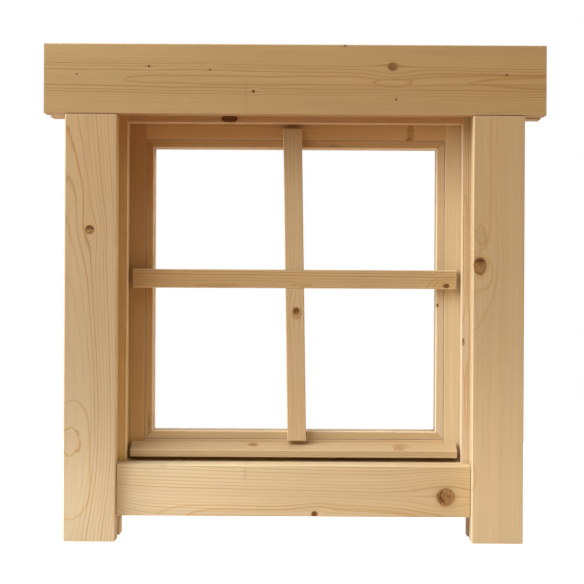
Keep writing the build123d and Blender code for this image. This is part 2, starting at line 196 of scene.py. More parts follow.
def make_spot_group():
    """One spot on a board: the grain bends round it, and it may have a dark ringed heart, or a mark that is a
    smudge at some places and painted light and shade at others.
    """
    group, t, given, out = new_group(
        "spruce_spot",
        [("Coords", "v"), ("Push in", "f"), ("Heart in", "f"), ("Dark in", "f"), ("Rings in", "f"),
         ("Halo in", "f"), ("Pin in", "f"), ("Stain in", "f"), ("Along", "f"), ("Across", "f"),
         ("Radius along", "f"), ("Radius across", "f"), ("Lean", "f"), ("Reach", "f"), ("Warp", "f"),
         ("Push", "f"), ("Side", "f"), ("Deep", "f"), ("Rim", "f"), ("Heart", "f"), ("Pin", "f"),
         ("Stain", "f")],
        [("Coords", "v"), ("Push", "f"), ("Heart", "f"), ("Dark", "f"), ("Rings", "f"), ("Halo", "f"),
         ("Pin", "f"), ("Stain", "f")],
    )
    along, across, deep = t.split(given["Coords"])
    from_along = t.math("SUBTRACT", along, given["Along"])
    shift = t.math("MULTIPLY", deep, given["Lean"])
    from_across = t.math("SUBTRACT", t.math("SUBTRACT", across, given["Across"]), shift)

    # Places count in radii from the middle, and the outline wobbles.
    radii_along = t.math("DIVIDE", from_along, given["Radius along"])
    radii_across = t.math("DIVIDE", from_across, given["Radius across"])
    square = t.squares(radii_along, radii_across)
    wobble = t.math("SUBTRACT", t.noise(given["Coords"], 95.0, 2.0), 0.5)
    distance = t.math("MULTIPLY_ADD", wobble, 0.30, t.math("SQRT", square))

    # The grain gives way round the spot, further along the board than across it.
    along_stretch = 1.9
    flow_along = t.math("DIVIDE", radii_along, t.math("MULTIPLY", given["Reach"], along_stretch))
    flow_across = t.math("DIVIDE", radii_across, given["Reach"])
    flow = t.fade(t.squares(flow_along, flow_across))
    bend = t.math("MULTIPLY", t.math("MULTIPLY", from_across, given["Warp"]), flow)
    t.put(out["Coords"], t.join(along, t.math("SUBTRACT", across, bend), deep))
    t.put(out["Push"], t.math("MULTIPLY_ADD", flow, given["Push"], given["Push in"]))

    # The heart, and a halo about it.
    inside = t.steps(distance, 0.86, 1.09, 1.0, 0.0)
    heart = t.math("MULTIPLY", inside, given["Heart"])
    t.put(out["Heart"], t.math("MAXIMUM", heart, given["Heart in"]))
    halo = t.math("MULTIPLY", t.steps(distance, 0.95, 1.7, 1.0, 0.0), given["Heart"])
    t.put(out["Halo"], t.math("MAXIMUM", halo, given["Halo in"]))

    # Rings about a pith that lies to one side, broken up by mottle and pale flecks.
    pith_along = t.math("MULTIPLY_ADD", given["Side"], 0.30, radii_along)
    pith_across = t.math("SUBTRACT", radii_across, 0.12)
    centre = t.math("MULTIPLY_ADD", wobble, 0.35, t.math("SQRT", t.squares(pith_along, pith_across)))
    patch = t.noise(given["Coords"], 230.0, 3.0, 0.6)
    mottle = t.math("SUBTRACT", patch, 0.5)
    turns = t.math("SINE", t.math("MULTIPLY_ADD", mottle, 9.0, t.math("MULTIPLY", centre, 17.0)))
    to_side = t.math("MULTIPLY", radii_along, given["Side"])
    fleck = t.math("MULTIPLY", t.steps(patch, 0.50, 0.62), t.bell(centre, 0.55))
    circles = t.math("MULTIPLY_ADD", turns, t.steps(to_side, -0.6, 0.6, 0.14, 0.42), 0.42)
    circles = t.math("MULTIPLY_ADD", fleck, -0.7, circles, clamp=True)
    t.put(out["Rings"], t.math("MAXIMUM", t.math("MULTIPLY", circles, heart), given["Rings in"]))

    # Dark to one side, at the pith and round the rim.
    shaded = t.total(to_side, given["Deep"], t.math("MULTIPLY", wobble, 0.9), t.math("MULTIPLY", mottle, 1.1))
    shaded = t.math("MULTIPLY", t.steps(shaded, -0.12, 0.72, 0.0, 1.0), t.steps(turns, -0.9, 0.3, 0.55, 1.0))
    shaded = t.math("MULTIPLY", shaded, t.steps(distance, 0.66, 0.92, 1.0, given["Rim"]))
    middle = t.math("MULTIPLY", t.bell(centre, 0.20), 0.55)
    rim = t.bell(t.math("SUBTRACT", distance, 0.93), 0.11)
    rim = t.math("MULTIPLY", rim, t.math("MULTIPLY", given["Rim"], 0.75))
    dark = t.math("MAXIMUM", shaded, t.math("MAXIMUM", middle, rim))
    t.put(out["Dark"], t.math("MAXIMUM", t.math("MULTIPLY", dark, heart), given["Dark in"]))

    t.put(out["Pin"], t.math("MAXIMUM", t.math("MULTIPLY", inside, given["Pin"]), given["Pin in"]))
    broken = t.steps(t.noise(given["Coords"], 260.0, 3.0, 0.6), 0.35, 0.65, 0.55, 1.2)
    cloud = t.math("MULTIPLY", t.math("MULTIPLY", t.fade(square), broken), given["Stain"])
    t.put(out["Stain"], t.math("ADD", cloud, given["Stain in"]))
    return group


def make_loop_group():
    """One growth ring that closes on the face: a thin line, soft on its inner side."""
    group, t, given, out = new_group(
        "spruce_loop",
        [("Coords", "v"), ("Loop in", "f"), ("Along", "f"), ("Across", "f"), ("Radius along", "f"),
         ("Radius across", "f"), ("Power along", "f"), ("Power across", "f"), ("Waver", "f"), ("Width", "f"),
         ("Strength", "f")],
        [("Loop", "f")],
    )
    along, across, _ = t.split(given["Coords"])
    wave = t.noise(t.vector("MULTIPLY", given["Coords"], (9.0, 22.0, 22.0)), 1.0, 1.0)
    across = t.math("MULTIPLY_ADD", t.math("SUBTRACT", wave, 0.5), 0.007, across)
    sides, powers, slopes = [], [], []
    least_size = 0.001
    for value, label in ((along, "along"), (across, "across")):
        radius, power = given["Radius " + label], given["Power " + label]
        side = t.math("DIVIDE", t.math("SUBTRACT", value, given[label.capitalize()]), radius)
        size = t.math("MAXIMUM", t.math("ABSOLUTE", side), least_size)
        raised = t.math("POWER", size, power)
        slope = t.math("DIVIDE", t.math("MULTIPLY", t.math("DIVIDE", raised, size), power), radius)
        sides.append(side)
        powers.append(raised)
        slopes.append(slope)
    shape = t.noise(t.vector("ADD", t.join(*sides, 0.0), given["Coords"]), 1.5, 2.0)
    waver = t.swing(shape, given["Waver"])

    # The distance from the line, positive outside it.
    off = t.math("SUBTRACT", t.math("ADD", t.total(*powers), waver), 1.0)
    off = t.math("DIVIDE", off, t.math("SQRT", t.squares(*slopes)))
    outside = t.math("GREATER_THAN", off, 0.0)
    inner_width, outer_narrowing = 2.1, -1.5
    width = t.math("MULTIPLY", t.math("MULTIPLY_ADD", outside, outer_narrowing, inner_width), given["Width"])
    line = t.math("MULTIPLY", t.bell(off, width), given["Strength"])
    t.put(out["Loop"], t.math("MAXIMUM", line, given["Loop in"]))
    return group


def make_grain_group():
    """Growth rings about a pith line, fibres along the board, worn edges, and painted light, shade and
    highlights.
    """
    group, t, given, out = new_group(
        "spruce_grain",
        [("Place", "v"), ("Half", "v"), ("Normal", "v"), ("Coords", "v"), ("Push", "f"), ("Heart", "f"),
         ("Dark", "f"), ("Rings", "f"), ("Halo", "f"), ("Pin", "f"), ("Stain", "f"), ("Loop", "f"),
         ("Seed", "f"), ("Pith across", "f"), ("Pith deep", "f"), ("Tilt across", "f"), ("Tilt deep", "f"),
         ("Bow", "f"), ("Wander", "f"), ("Wander deep", "f"), ("Spacing", "f"), ("Start", "f"),
         ("Uneven", "f"), ("Contrast", "f"), ("Plain", "f"), ("Fade", "f"), ("Tone and shading low", "c"),
         ("Tone and shading high", "c"), ("Tone side", "c"), ("Outer side shading", "c"), ("Outer", "f"), ("Wear", "f")],
        [("Colour", "c"), ("Roughness", "f"), ("Height", "f")],
    )
    along, across, deep = t.split(given["Coords"])
    seed = t.join(*[t.math("MULTIPLY", given["Seed"], by) for by in (1.0, 1.7, 0.6)])

    def stretched(by_along, by_across, detail, roughness=0.5, shift=0.0):
        place = t.join(
            t.math("MULTIPLY", along, by_along),
            t.math("MULTIPLY", across, by_across),
            t.math("MULTIPLY_ADD", deep, by_across, shift),
        )
        return t.noise(t.vector("ADD", place, seed), 1.0, detail, roughness)

    # How far a point lies from the pith, which tilts, bows and wanders along the board.
    from_pith = t.total(
        t.math("SUBTRACT", across, given["Pith across"]),
        t.math("MULTIPLY", along, given["Tilt across"]),
        t.swing(stretched(4.6, 7.0, 1.0), given["Wander"]),
    )
    below = t.total(
        t.math("SUBTRACT", deep, given["Pith deep"]),
        t.math("MULTIPLY", along, given["Tilt deep"]),
        t.math("MULTIPLY", t.math("MULTIPLY", along, along), given["Bow"]),
        t.swing(stretched(3.8, 9.0, 1.0, shift=7.3), given["Wander deep"]),
    )
    ripple = t.swing(stretched(14.0, 60.0, 2.0, 0.55, 3.1), 0.0011)
    radius = t.total(t.math("SQRT", t.squares(from_pith, below)), given["Push"], ripple)

    # Years of uneven width, each with a late band of its own strength that ends sharply.
    phase = t.math("ADD", t.math("DIVIDE", radius, given["Spacing"]), given["Start"])
    uneven = t.add("ShaderNodeTexNoise", noise_dimensions="1D")
    t.put(uneven.inputs["W"], t.math("MULTIPLY_ADD", phase, 0.23, given["Seed"]))
    t.put(uneven.inputs["Scale"], 1.0)
    t.put(uneven.inputs["Detail"], 1.0)
    phase = t.math("MULTIPLY_ADD", uneven.outputs["Fac"], given["Uneven"], phase)
    year = t.math("FLOOR", phase)
    within = t.math("FRACT", phase)
    dice = t.add("ShaderNodeTexWhiteNoise", noise_dimensions="1D")
    t.put(dice.inputs["W"], t.math("ADD", year, given["Seed"]))
    chance = dice.outputs["Value"]
    darkest = 0.94
    start = t.math("MULTIPLY_ADD", chance, -0.16, 0.78)
    rise = t.steps(within, start, darkest)
    fall = t.steps(within, darkest, 1.0, 1.0, 0.0)
    late = t.math("MULTIPLY", t.math("MULTIPLY", rise, fall), t.math("MULTIPLY_ADD", chance, 0.45, 0.52))
    patchy = t.steps(stretched(3.2, 22.0, 2.0, shift=12.7), 0.25, 0.75, 0.65, 1.2)
    faded = t.steps(t.math("DIVIDE", radius, given["Fade"]), 0.8, 1.15, 1.0, 0.28)
    bare = t.steps(t.math("DIVIDE", radius, given["Plain"]), 0.985, 1.015, 0.10, 1.0)
    faded = t.math("MULTIPLY", faded, bare)
    late = t.math("MULTIPLY", t.math("MULTIPLY", late, patchy), t.math("MULTIPLY", faded, given["Contrast"]))
    colour = t.mix(late, EARLY_TONE, LATE_TONE)
    colour = t.mix(given["Loop"], colour, LOOP_TONE)
    late = t.math("MAXIMUM", late, given["Loop"])

    # Fibres, streaks, resin canals and warmer patches.
    fibre = stretched(14.0, 640.0, 3.0, 0.6, 5.9)
    streak = stretched(2.2, 120.0, 2.0, shift=9.4)
    cloud = stretched(3.0, 14.0, 2.0, shift=17.0)
    colour = t.scaled(colour, t.total(t.swing(fibre, 0.20), t.swing(streak, 0.14), t.swing(cloud, 0.16), 1.0))
    canal = t.steps(stretched(42.0, 1100.0, 1.0, shift=21.0), 0.70, 0.80)
    colour = t.mix(t.math("MULTIPLY", canal, 0.22), colour, CANAL_TONE)
    blush = t.steps(stretched(1.7, 26.0, 1.0, shift=30.0), 0.50, 0.80)
    colour = t.mix(t.math("MULTIPLY", blush, 0.12), colour, BLUSH_TONE)

    # The board's colour factor, which drifts from its low end to its high end: partly the wood's own colour
    # and partly painted light and shade, darker and warmer on boards in shade, paler on lit boards and at
    # their lit ends.
    places = t.split(given["Place"])
    halves = t.split(given["Half"])
    drift = t.steps(t.math("DIVIDE", places[0], halves[0]), -1.0, 1.0, 0.0, 1.0, smooth=False)
    tone_and_shading = t.mix(drift, given["Tone and shading low"], given["Tone and shading high"])
    colour = t.mix(1.0, colour, tone_and_shading, "MULTIPLY")

    # Smudges and painted light and shade, knots and pin knots.
    colour = t.scaled(colour, t.math("MULTIPLY_ADD", given["Stain"], -1.0, 1.0))
    speck = t.steps(t.noise(given["Coords"], 420.0, 3.0, 0.65), 0.50, 0.70)
    colour = t.mix(t.math("MULTIPLY", given["Halo"], 0.30), colour, HALO_TONE)
    heart_tone = t.mix(given["Rings"], HEART_TONE, HEART_RING_TONE)
    heart_tone = t.mix(t.math("MULTIPLY", speck, 0.5), heart_tone, HEART_SPECK_TONE)
    heart_tone = t.mix(given["Dark"], heart_tone, HEART_DARK_TONE)
    colour = t.mix(given["Heart"], colour, heart_tone)
    colour = t.mix(t.math("MULTIPLY", given["Pin"], 0.9), colour, PIN_TONE)

    # Worn edges that are partly a painted highlight, a painted highlight on the arrises, painted light and
    # shade on the sides, and end grain.
    # Edges within a few millimetres of two faces are mixed towards a paler colour: partly worn edges, partly
    # a painted highlight.
    gaps = [t.math("SUBTRACT", half, t.math("ABSOLUTE", place)) for place, half in zip(places, halves)]
    wear_and_highlight = t.noise(given["Coords"], 55.0, 3.0)
    reach = t.math("MULTIPLY_ADD", wear_and_highlight, 0.0042, 0.0006)
    edge = None
    for first, second in ((1, 2), (0, 2), (0, 1)):
        near = t.math("SMOOTH_MAX", gaps[first], gaps[second], 0.0004)
        share = t.steps(t.math("DIVIDE", near, reach), 0.25, 1.0, 1.0, 0.0)
        edge = share if edge is None else t.math("MAXIMUM", edge, share)
    colour = t.mix(t.math("MULTIPLY", edge, given["Wear"]), colour, WORN_AND_HIGHLIT_TONE)
    facing = t.split(t.vector("ABSOLUTE", given["Normal"]))
    square_on = t.math("MAXIMUM", t.math("MAXIMUM", facing[0], facing[1]), facing[2])
    # Arrises, where the normal is oblique, are made brighter and creamier: a painted highlight.
    arris_highlight = t.steps(square_on, 0.82, 0.945, 1.0, 0.0)
    colour = t.scaled(colour, t.math("MULTIPLY_ADD", arris_highlight, 0.28, 1.0))
    colour = t.mix(t.math("MULTIPLY", arris_highlight, 0.42), colour, ARRIS_HIGHLIGHT_TONE)
    # Faces that look sideways take a factor of their own, painted light and shade for how the light falls on
    # them; the side of an upright that looks away from the window takes the outer one, painted shade.
    turn_from, turn_to = 0.45, 0.70
    turned = t.steps(facing[1], turn_from, turn_to, 1.0, 0.0)
    outer = t.steps(t.math("MULTIPLY", t.split(given["Normal"])[0], given["Outer"]), turn_from, turn_to)
    painted_side_shading = t.mix(outer, given["Tone side"], given["Outer side shading"])
    colour = t.mix(turned, colour, t.mix(1.0, colour, painted_side_shading, "MULTIPLY"))
    ends = t.steps(gaps[0], 0.0001, 0.0012, 1.0, 0.0)
    colour = t.mix(t.math("MULTIPLY", ends, 0.30), colour, END_GRAIN_TONE)
    t.put(out["Colour"], colour)

    rough = t.total(t.math("MULTIPLY", fibre, 0.16), t.math("MULTIPLY", late, -0.10), 0.52)
    t.put(out["Roughness"], rough)
    height = t.total(
        t.math("MULTIPLY", late, 0.45),
        t.math("MULTIPLY", fibre, 0.55),
        t.math("MULTIPLY", given["Heart"], -0.5),
        t.math("MULTIPLY", given["Pin"], -1.5),
    )
    t.put(out["Height"], height)
    return group


SPOT = make_spot_group()
LOOP = make_loop_group()
GRAIN = make_grain_group()
SPOT_FLOWS = ("Push", "Heart", "Dark", "Rings", "Halo", "Pin", "Stain")
SPOT_LENGTHS = ("Radius along", "Radius across", "Push")
SPOT_SHARES = ("Reach", "Warp", "Side", "Deep", "Rim", "Heart", "Pin", "Stain")
LOOP_LENGTHS = ("Radius along", "Radius across", "Width")
LOOP_SHARES = ("Power along", "Power across", "Waver", "Strength")
LEAN = 0.12
JOINT_LENGTH = 1000.0
JOINT_WIDTH = 0.8


def new_material(name):
    material = bpy.data.materials.new(name)
    material.use_nodes = True
    tree = Tree(material.node_tree)
    shader = material.node_tree.nodes["Principled BSDF"]
    return material, tree, shader


def dress(node, material):
    """Gives a CAD part one material on all its faces."""
    mesh = parts[node].data
    mesh.materials.clear()
    mesh.materials.append(material)
    for polygon in mesh.polygons:
        polygon.material_index = 0


def add_object(name, data):
    """Puts new data in the scene as an object."""
    item = bpy.data.objects.new(name, data)
    bpy.context.scene.collection.objects.link(item)
    return item


def knot(x, z, along, across, heart=1.0, side=0.0, reach=2.3, warp=0.8, push=0.0, rim=0.6, deep=0.0):
    """A branch cut through: its middle and radii in millimetres.

    side is the darker end along the grain, rim how dark the outer ring is, and deep how dark it is all over.
    The grain bends by warp as far out as reach, in radii. push moves the rings there, in millimetres.
    """
    return {"at": (x, z), "Radius along": along, "Radius across": across, "Heart": heart, "Side": side,
            "Rim": rim, "Deep": deep, "Reach": reach, "Warp": warp, "Push": push}


def pin(x, z, radius):
    """A pin knot: a small dark speck that bends the grain a little."""
    return {"at": (x, z), "Radius along": radius, "Radius across": radius, "Pin": 1.0, "Reach": 2.6,
            "Warp": 0.6}


def eye(x, z, along, across, push, warp=0.0):
    """A place where the rings rise to the face or dip from it, and close into a loop."""
    return {"at": (x, z), "Radius along": along, "Radius across": across, "Reach": 1.0, "Push": push,
            "Warp": warp}


def mark(x, z, along, across, stain_and_shade):
    """A smudge, or a paler patch where stain_and_shade is negative. Some marks are painted light and shade,
    such as the paler patches at the feet of the left stiles.
    """
    return {"at": (x, z), "Radius along": along, "Radius across": across, "Reach": 1.0, "Stain": stain_and_shade}


def joint_shade_line(x, z, stain_and_shade):
    """A dark line all along one edge of a board, painted as the shade in the gap of a joint."""
    return mark(x, z, JOINT_LENGTH, JOINT_WIDTH, stain_and_shade)


def loop(x, z, along, across, strength=0.6, waver=0.10, width=0.7, power=(2.0, 2.0)):
    """A growth ring that closes on the face, by its middle, radii and line width in millimetres.

    A power over 2 squares the ring's shape in that direction.
    """
    return {"at": (x, z), "Radius along": along, "Radius across": across, "Width": width, "Waver": waver,
            "Strength": strength, "Power along": power[0], "Power across": power[1]}


def wood(node, axis, pith, tilt=(0.0, 0.0), bow=0.0, wander=0.006, wander_deep=None, spacing=2.4, start=0.0,
         uneven=2.2, contrast=0.75, plain=1.0, fade=900.0, seed=0.0, tone_and_shading=(1.0, 1.0, 1.0), tone_and_shading_high=None,
         side_shading=(1.0, 1.0, 1.0), outer_side_shading=None, wear_and_highlight=0.20, spots=(), loops=()):
    """Spruce for one board. Along is the grain axis, across the other axis of its front, deep is y.

    pith, spacing, plain, fade, spots and loops are in millimetres, and pith is set from the board's middle.
    Rings are faint nearer to the pith than plain and further from it than fade. tone_and_shading, which goes
    over to tone_and_shading_high at the high end, is partly the wood's own colour and partly painted light
    and shade.
    side_shading is painted light and shade on the sides, and outer_side_shading painted shade on the side of
    an upright that looks away from the window.
    """
    material, t, shader = new_material("spruce_" + node)
    low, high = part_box(node)
    middle, half = (low + high) / 2, (high - low) / 2
    order = (0, 2, 1) if axis == "x" else (2, 0, 1)
    source = t.add("ShaderNodeTexCoord").outputs
    offset = t.split(t.vector("SUBTRACT", source["Object"], tuple(middle)))
    place = t.join(*[offset[i] for i in order])
    coords = place

    def spot_place(spot):
        x, z = spot["at"]
        at = (x * MM - middle.x, z * MM - middle.z)
        return at if axis == "x" else (at[1], at[0])

    def fill(group, values):
        for label, value in values.items():
            t.put(group.inputs[label], value)

    flows = dict.fromkeys(SPOT_FLOWS, 0.0)
    for spot in spots:
        group = t.add("ShaderNodeGroup", node_tree=SPOT)
        along, across = spot_place(spot)
        values = {"Coords": coords, "Along": along, "Across": across + LEAN * half.y, "Lean": LEAN}
        values.update({label + " in": flow for label, flow in flows.items()})
        values.update({label: spot.get(label, 0.0) * MM for label in SPOT_LENGTHS})
        values.update({label: spot.get(label, 0.0) for label in SPOT_SHARES})
        fill(group, values)
        coords = group.outputs["Coords"]
        flows = {label: group.outputs[label] for label in SPOT_FLOWS}
    flows["Loop"] = 0.0
    for ring in loops:
        group = t.add("ShaderNodeGroup", node_tree=LOOP)
        along, across = spot_place(ring)
        values = {"Coords": coords, "Loop in": flows["Loop"], "Along": along, "Across": across}
        values.update({label: ring[label] * MM for label in LOOP_LENGTHS})
        values.update({label: ring[label] for label in LOOP_SHARES})
        fill(group, values)
        flows["Loop"] = group.outputs["Loop"]
    grain = t.add("ShaderNodeGroup", node_tree=GRAIN)
    fill(grain, {
        "Place": place, "Half": tuple(half[i] for i in order), "Normal": source["Normal"], "Coords": coords,
        "Seed": seed, "Pith across": pith[0] * MM, "Pith deep": pith[1] * MM, "Tilt across": tilt[0],
        "Tilt deep": tilt[1], "Bow": bow, "Wander": wander,
        "Wander deep": wander if wander_deep is None else wander_deep, "Spacing": spacing * MM,
        "Start": start, "Uneven": uneven, "Contrast": contrast, "Plain": plain * MM, "Fade": fade * MM,
        "Tone and shading low": (*tone_and_shading, 1.0), "Tone and shading high": (*(tone_and_shading_high or tone_and_shading), 1.0), "Tone side": (*side_shading, 1.0),
        "Outer side shading": (*(outer_side_shading or side_shading), 1.0), "Outer": math.copysign(1.0, middle.x),
        "Wear": wear_and_highlight, **flows,
    })
    t.put(shader.inputs["Base Color"], grain.outputs["Colour"])
    t.put(shader.inputs["Roughness"], grain.outputs["Roughness"])
    shader.inputs["Specular IOR Level"].default_value = 0.12
    t.relief(shader, grain.outputs["Height"], strength=0.35, distance=0.00035)
    dress(node, material)


# The colour factors below are partly each board's own colour and partly painted light and shade: boards in
# shade are darker and warmer, lit boards and their lit ends paler, and their sides lit or shaded.
# The front trim.
wood("front_header", "x", (-0.9, 2.5), tilt=(0.010, 0.0), wander_deep=0.0016, spacing=2.2, start=0.27,
     uneven=0.25, contrast=1.25, plain=27.0, fade=34.5, seed=1.0, tone_and_shading=(0.79, 0.74, 0.63),
     tone_and_shading_high=(0.84, 0.75, 0.60),
     spots=[knot(132.7, 648.0, 7.0, 5.9, side=-0.35, reach=2.6, warp=0.9, rim=1.0, deep=0.28),
            pin(-297.0, 635.8, 1.3), pin(-199.1, 647.1, 1.6), pin(-116.2, 642.9, 1.2), pin(-56.8, 613.7, 2.0),
            pin(137.4, 603.6, 1.4), pin(287.9, 637.9, 1.4), pin(67.7, 677.0, 2.2),
            mark(-67.1, 617.0, 2.5, 16.0, 0.10), mark(-149.4, 598.7, 5.0, 3.5, -0.08)],
     loops=[loop(96.0, 629.3, 328.0, 6.4, strength=0.55, waver=0.5, width=0.9, power=(7.0, 2.6)),
            loop(364.7, 626.2, 128.0, 9.0, strength=0.65, waver=0.3, width=1.2, power=(1.6, 1.6)),
            loop(134.0, 629.5, 27.0, 8.0, waver=0.8, width=1.0, power=(1.5, 1.8))])
# The paler mark at the foot of this stile is painted light.
wood("front_stile_left", "z", (-33, 82), tilt=(0.0, -0.024), bow=-0.0176, wander=0.005, wander_deep=0.0018,
     spacing=2.0, start=0.64, uneven=0.30, contrast=1.0, plain=107.0, seed=2.0, tone_and_shading=(0.91, 1.04, 1.23),
     tone_and_shading_high=(0.88, 0.84, 0.80), side_shading=(1.20, 1.12, 0.93), outer_side_shading=(0.84, 0.86, 0.87),
     spots=[knot(-278.5, 424.5, 6.4, 6.2, side=1.6, reach=2.8, rim=1.0, deep=0.32),
            eye(-262.0, -25.0, 55.0, 70.0, 10.0), mark(-240.0, 10.0, 26.0, 7.0, -0.22)],
     loops=[loop(-303.0, 112.0, 82.0, 26.5, strength=0.55, waver=0.6, width=0.9, power=(3.2, 2.6)),
            loop(-304.0, 136.4, 19.5, 13.0, strength=0.8, waver=1.7, width=1.1)])
wood("front_stile_right", "z", (90, 50), tilt=(0.006, 0.004), wander=0.005, spacing=2.9, contrast=0.28,
     seed=3.0, tone_and_shading=(1.13, 1.23, 1.33), tone_and_shading_high=(1.00, 0.96, 0.89), side_shading=(0.98, 1.05, 1.14),
     spots=[knot(252.4, 377.6, 12.6, 9.2, side=0.7, reach=2.4, warp=0.9, push=-2.0, rim=0.8, deep=0.15),
            mark(253.6, 418.0, 10.0, 3.6, 0.10), mark(281.0, 330.0, 130.0, 60.0, 0.07)],
     loops=[loop(253.6, 420.1, 13.5, 3.8, strength=0.45, waver=0.6, width=0.9),
            loop(241.8, 89.7, 19.7, 7.5, strength=0.5, waver=0.4, width=0.9),
            loop(243.0, 560.0, 168.0, 23.7, strength=0.42, waver=0.3, width=1.0, power=(5.0, 2.0)),
            loop(243.0, 560.0, 270.0, 31.6, strength=0.30, waver=0.3, width=1.0, power=(4.0, 2.0)),
            loop(241.0, 366.0, 27.0, 22.0, strength=0.40, waver=0.7, width=1.0)])
wood("front_apron", "x", (110, 60), tilt=(0.012, 0.01), wander=0.004, spacing=3.9, uneven=0.5, contrast=1.0,
     seed=4.0, tone_and_shading=(1.14, 1.32, 1.56), tone_and_shading_high=(1.05, 1.10, 1.11), side_shading=(1.14, 1.16, 1.20),
     spots=[knot(208.9, 60.6, 13.2, 12.8, side=-1.0, reach=2.2, warp=0.85, rim=0.2),
            knot(29.4, 36.8, 4.4, 4.0, side=-0.6, reach=3.4, warp=0.85, rim=1.0, deep=0.65),
            eye(-262.0, 24.0, 22.0, 36.0, 3.0, 0.6), mark(-178.6, 101.5, 5.0, 2.5, 0.14),
            mark(-66.2, 92.0, 2.5, 9.0, 0.14), mark(10.0, 60.0, 90.0, 80.0, 0.05)],
     loops=[loop(20.0, 20.0, 215.0, 28.2, strength=0.55, waver=0.2, width=0.9, power=(9.0, 2.0)),
            loop(20.0, 20.0, 175.0, 23.0, waver=0.2, width=1.0, power=(9.0, 2.0))])

# The box frame.
wood("frame_jamb_left", "z", (60, 30), seed=5.0, spacing=1.9, wear_and_highlight=0.35, tone_and_shading=(1.10, 1.03, 0.78),
     tone_and_shading_high=(1.18, 1.00, 0.79), side_shading=(1.02, 1.10, 1.20))
wood("frame_jamb_right", "z", (-70, 45), seed=6.0, spacing=1.9, contrast=1.5, wear_and_highlight=0.50,
     tone_and_shading=(1.05, 1.20, 1.52), tone_and_shading_high=(0.86, 0.86, 0.90), side_shading=(1.17, 1.24, 1.35),
     spots=[knot(233.2, 272.7, 5.0, 2.2, heart=0.9, side=0.5, reach=6.0, warp=0.9, push=3.0, rim=1.0,
                 deep=0.4)],
     loops=[loop(241.0, 250.0, 62.0, 4.5, strength=0.60, waver=0.9),
            loop(238.0, 205.0, 55.0, 3.0, strength=0.55, waver=0.9),
            loop(243.0, 330.0, 50.0, 5.0, strength=0.55, waver=0.9),
            loop(236.0, 410.0, 70.0, 3.5, strength=0.50, waver=0.9)])
wood("frame_head", "x", (50, 40), seed=7.0, spacing=2.0, contrast=1.0, wear_and_highlight=0.42, tone_and_shading=(1.03, 0.93, 0.99),
     spots=[knot(-90.3, 579.8, 11.5, 6.0, reach=2.4, warp=0.85, push=1.0, rim=1.0, deep=0.75)])
# The sill's very pale colour factor is mostly painted light.
wood("frame_sill", "x", (-60, 30), seed=8.0, spacing=2.0, tone_and_shading=(1.45, 1.66, 2.06))

# The rear trim.
wood("rear_header", "x", (-20, -60), bow=0.05, seed=9.0, spacing=2.6,
     spots=[knot(-160.0, 640.0, 8.0, 7.0), knot(210.0, 622.0, 2.4, 2.0), pin(40.0, 655.0, 1.6)])
# The raised colour factors of the rear stiles and the paler mark at the left foot are painted light.
wood("rear_stile_left", "z", (30, -70), tilt=(0.01, 0.012), seed=10.0, spacing=2.2, tone_and_shading=(1.18, 1.14, 1.06),
     outer_side_shading=(0.74, 0.77, 0.82),
     spots=[knot(-265.0, 210.0, 8.0, 7.0), pin(-290.0, 480.0, 1.6), mark(-240.0, 8.0, 26.0, 12.0, -0.25)])
wood("rear_stile_right", "z", (-50, -60), tilt=(-0.008, 0.01), seed=11.0, spacing=2.4,
     tone_and_shading=(1.12, 1.10, 1.04), spots=[knot(292.0, 480.0, 5.0, 4.5), pin(262.0, 140.0, 1.6)])
wood("rear_apron", "x", (15, -90), tilt=(0.01, 0.015), seed=12.0, spacing=2.3,
     spots=[knot(-60.0, 70.0, 7.0, 6.0), pin(150.0, 55.0, 1.5)])

# The sash, its beads and bars, and the drip rail.
wood("sash_stile_left", "z", (55, 30), seed=13.0, spacing=1.8, tone_and_shading=(0.92, 0.79, 0.61),
     tone_and_shading_high=(0.92, 0.75, 0.63))
wood("sash_stile_right", "z", (-50, 35), seed=14.0, spacing=1.8, wear_and_highlight=0.35, tone_and_shading=(1.13, 1.24, 1.40),
     tone_and_shading_high=(1.23, 1.35, 1.49))
wood("sash_top_rail", "x", (45, 30), seed=15.0, spacing=1.8, wear_and_highlight=0.30, tone_and_shading=(1.10, 0.99, 0.90),
     tone_and_shading_high=(1.15, 1.14, 1.10),
     spots=[knot(160.4, 564.0, 4.6, 12.0, heart=0.50, reach=1.8, warp=0.7, push=1.0),
            knot(158.6, 556.5, 4.2, 4.6, heart=0.8, side=-0.6, reach=1.6, warp=0.4)])
wood("sash_bottom_rail", "x", (-45, 30), seed=16.0, spacing=1.8)
# The joint lines along the beads are painted shade in the gaps beside them.
wood("bead_bottom", "x", (30, 25), seed=17.0, spacing=1.5, wear_and_highlight=0.50, tone_and_shading=(0.91, 0.92, 0.91),
     spots=[joint_shade_line(0.0, 134.7, 0.40)])
wood("bead_top", "x", (-30, 25), seed=18.0, spacing=1.5, wear_and_highlight=0.55, tone_and_shading=(0.99, 0.87, 0.75),
     tone_and_shading_high=(1.03, 0.97, 0.93), spots=[mark(52.5, 544.5, 8.0, 1.5, 0.35), joint_shade_line(0.0, 552.1, 0.55)])
wood("bead_left", "z", (30, 25), seed=19.0, spacing=1.5, wear_and_highlight=0.50, tone_and_shading=(0.91, 0.82, 0.66),
     tone_and_shading_high=(0.94, 0.71, 0.53),
     spots=[mark(-202.7, 156.0, 12.0, 0.9, 0.7), joint_shade_line(-208.6, 343.0, 0.60)])
wood("bead_right", "z", (-30, 25), seed=20.0, spacing=1.5, wear_and_highlight=0.50, tone_and_shading=(1.03, 1.15, 1.45),
     tone_and_shading_high=(1.15, 1.21, 1.34),
     spots=[knot(198.8, 322.4, 2.8, 2.2, rim=1.0, deep=0.7), joint_shade_line(208.6, 343.0, 0.45)])
